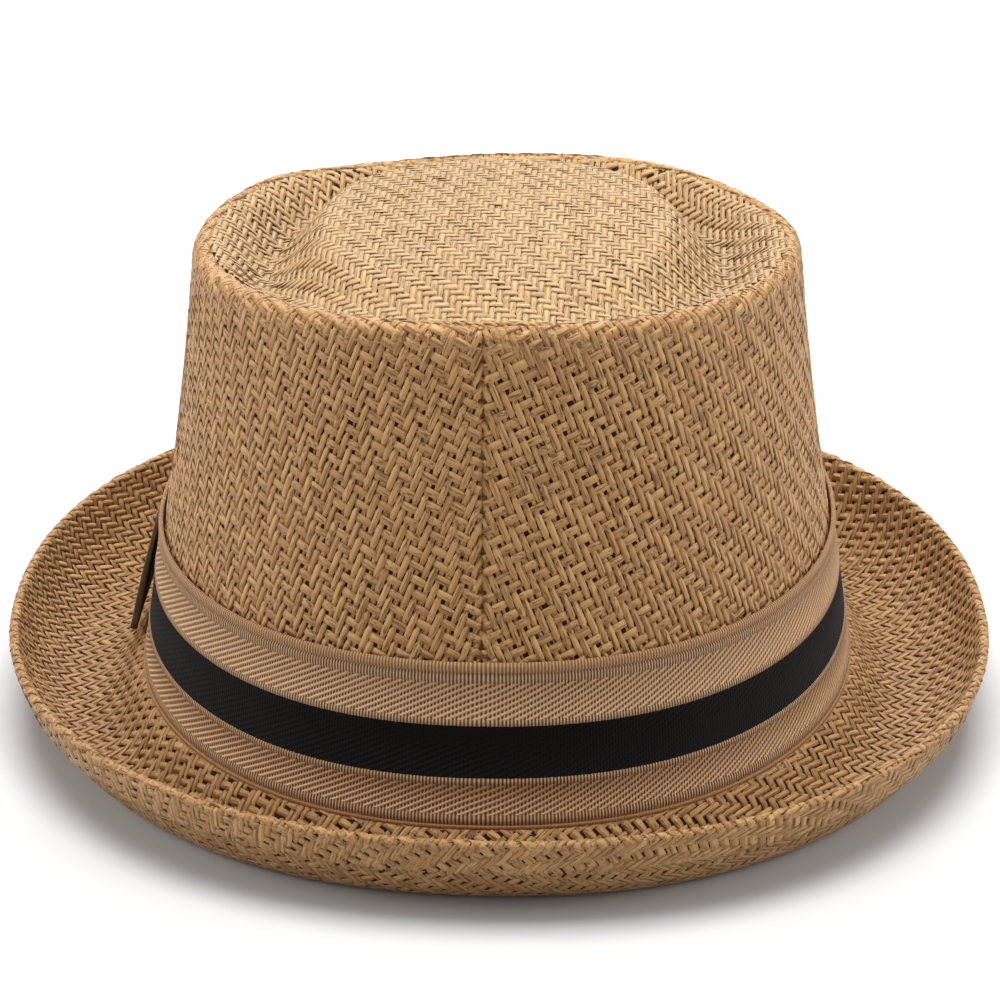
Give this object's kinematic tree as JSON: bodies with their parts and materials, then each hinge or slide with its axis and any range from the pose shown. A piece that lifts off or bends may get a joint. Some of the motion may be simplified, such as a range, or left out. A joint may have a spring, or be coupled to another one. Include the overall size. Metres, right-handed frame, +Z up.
{
  "type": "porkpie hat",
  "caption": "Porkpie hat of woven straw: a flat-topped crown with a sunk tip, a short brim turned up all round, a striped ribbon band and a plain leather tab.",
  "frame": {"origin": "on the surface that the brim rests on, under the middle of the hat's length and width", "axes": "+Z up; the wearer faces -Y and the crown's back seam is at +Y; +X is the wearer's left, where the tab is"},
  "size_m": [0.24, 0.274, 0.1235],
  "materials": {
    "crown_straw": "matt twill-woven paper straw in tan, with a faint sheen on each strand and dark gaps between strands",
    "brim_straw": "matt twill-woven paper straw, a little browner than the crown, folded double at the edge",
    "ribbon": "beige twill ribbon with a black stripe along the middle, thin ribbed lines and rolled edges",
    "tab_leather": "dark brown leather, matt, with a lighter cut edge"
  },
  "bodies": {
    "root": {"crown_side": "crown_straw", "crown_tip": "crown_straw", "brim": "brim_straw", "hat_band": "ribbon", "leather_tab": "tab_leather"}
  },
  "joints": []
}
